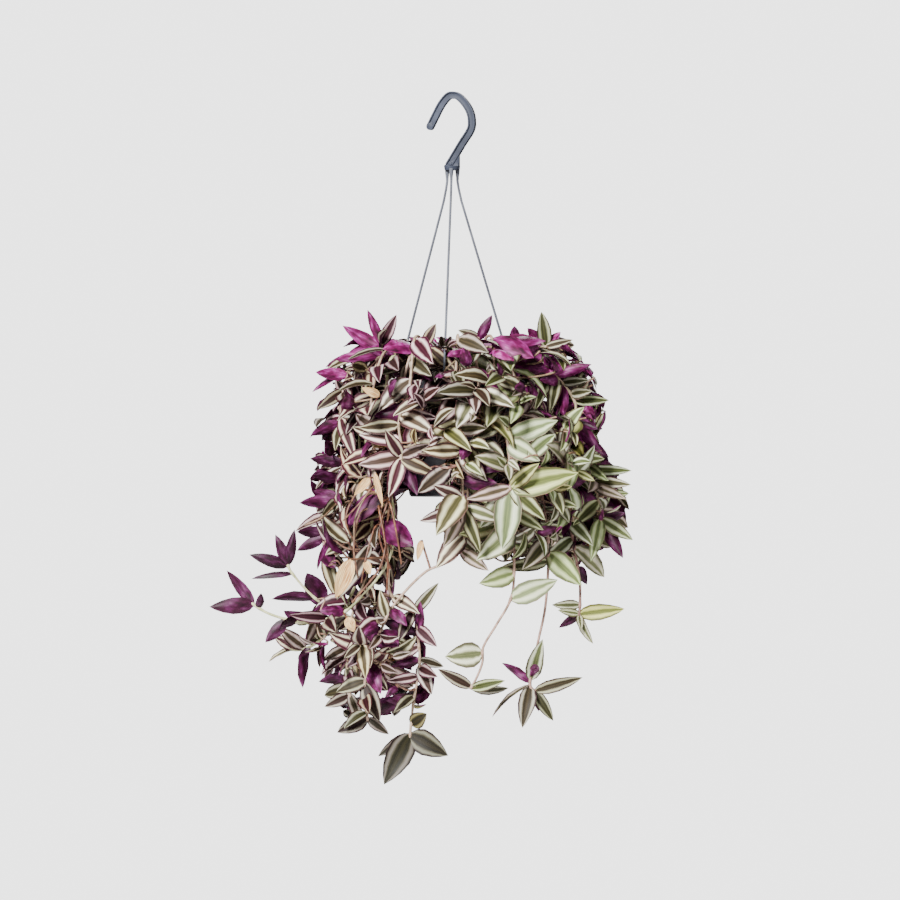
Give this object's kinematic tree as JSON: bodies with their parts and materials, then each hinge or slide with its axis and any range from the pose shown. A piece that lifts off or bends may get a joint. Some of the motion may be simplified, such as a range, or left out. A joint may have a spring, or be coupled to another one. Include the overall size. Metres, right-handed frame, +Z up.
{
  "type": "hanging potted tradescantia",
  "caption": "Trailing tradescantia with striped leaves in a round plastic hanging pot with a moulded three-strand hanger and hook.",
  "frame": {"origin": "seat of the hook: the highest point of the inside of its bend, where it rests on a rail", "axes": "+Z up, +X to the right and -Y to the front as the picture shows the plant; the pot's axis is Z"},
  "size_m": [0.4609, 0.3143, 0.7632],
  "materials": {
    "pot": "dark charcoal moulded plastic, slightly satin",
    "hanger": "grey-blue moulded plastic, satin",
    "soil": "dark brown potting soil, rough",
    "plant": "silvery green leaves with dark purple-brown stripes, purple undersides"
  },
  "bodies": {
    "root": {"crown_02": "plant", "crown_03": "plant", "crown_04": "plant", "crown_05": "plant", "face_left": "plant", "face_middle": "plant", "face_right": "plant", "hanger": "hanger", "pot": "pot", "shoulder_01": "plant", "shoulder_02": "plant", "shoulder_04": "plant", "shoulder_05": "plant", "shoulder_06": "plant", "shoulder_07": "plant", "shoulder_08": "plant", "shoulder_09": "plant", "shoulder_10": "plant", "shoulder_11": "plant", "side_left_high": "plant", "side_left_low": "plant", "side_left_middle": "plant", "side_right": "plant", "side_right_high": "plant", "skirt_01": "plant", "skirt_02": "plant", "skirt_03": "plant", "skirt_04": "plant", "skirt_05": "plant", "skirt_06": "plant", "soil": "soil", "top_front": "plant", "top_left": "plant", "top_middle": "plant", "top_right": "plant", "trail_bottom": "plant", "trail_front": "plant", "trail_left": "plant", "trail_right": "plant", "trail_right_front": "plant", "trail_right_side": "plant", "twig_left_long": "plant", "twig_left_low": "plant", "twig_left_up": "plant"}
  },
  "joints": []
}
